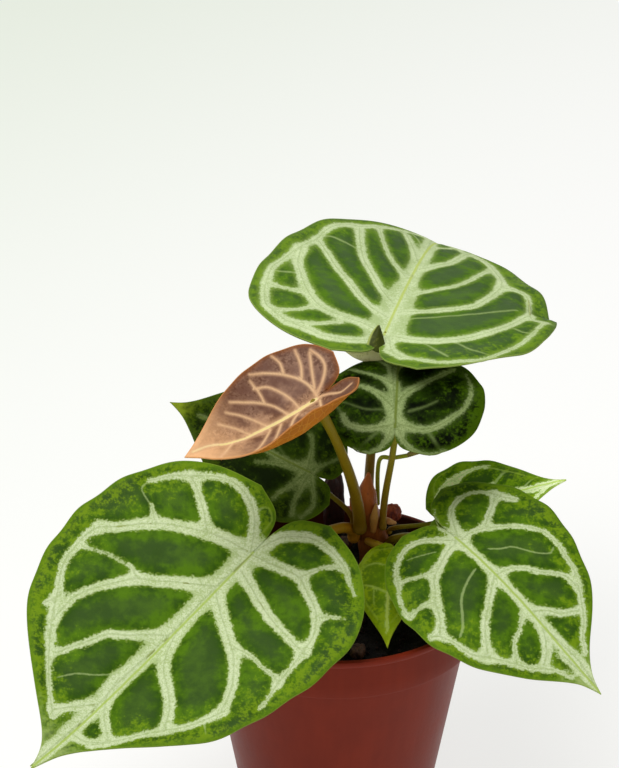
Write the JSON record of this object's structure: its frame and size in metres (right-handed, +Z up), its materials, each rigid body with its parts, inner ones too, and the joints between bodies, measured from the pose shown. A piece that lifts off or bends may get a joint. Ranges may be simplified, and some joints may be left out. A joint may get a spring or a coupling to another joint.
{
  "type": "potted anthurium",
  "caption": "Small tropical foliage plant with heart-shaped, silver-veined leaves and one young copper leaf, growing from a round terracotta-coloured plastic nursery pot.",
  "frame": {"origin": "centre of the pot's flat underside, on the surface it stands on", "axes": "+Z up along the pot's axis; -Y is the front, the side the picture shows; +X is the viewer's right"},
  "size_m": [0.2225, 0.2781, 0.2164],
  "materials": {
    "terracotta_plastic": "smooth moulded nursery-pot plastic, terracotta brown, soft sheen",
    "potting_soil": null,
    "stem_brown": "orange-brown papery sheaths and stubby roots",
    "leaf_green": null,
    "leaf_copper": null,
    "stalk_green": "olive green leaf stalks",
    "spike_tan": "dull yellow flower spike",
    "bark_dark": "dark red-brown bark chips"
  },
  "bodies": {
    "root": {"pot": "terracotta_plastic", "soil": "potting_soil", "stem": "stem_brown", "leaf_top": "leaf_green", "leaf_copper": "leaf_copper", "leaf_back_left": "leaf_green", "leaf_front_left": "leaf_green", "leaf_back_middle": "leaf_green", "leaf_front_right": "leaf_green", "leaf_back_right": "leaf_green", "leaf_small_front": "leaf_green", "stalk_top": "stalk_green", "stalk_copper": "stalk_green", "stalk_back_left": "stalk_green", "stalk_front_left": "stalk_green", "stalk_back_middle": "stalk_green", "stalk_front_right": "stalk_green", "stalk_back_right": "stalk_green", "stalk_small_front": "stalk_green", "flower_stalk": "stalk_green", "flower_spike": "spike_tan", "sheath_right": "stem_brown", "sheath_left": "stem_brown", "root_front": "stem_brown", "root_right": "stem_brown", "bark_upright": "bark_dark", "bark_red": "bark_dark", "bark_left": "bark_dark", "bark_front": "bark_dark", "bark_right": "bark_dark", "bark_back": "bark_dark", "bark_rim": "bark_dark"}
  },
  "joints": []
}
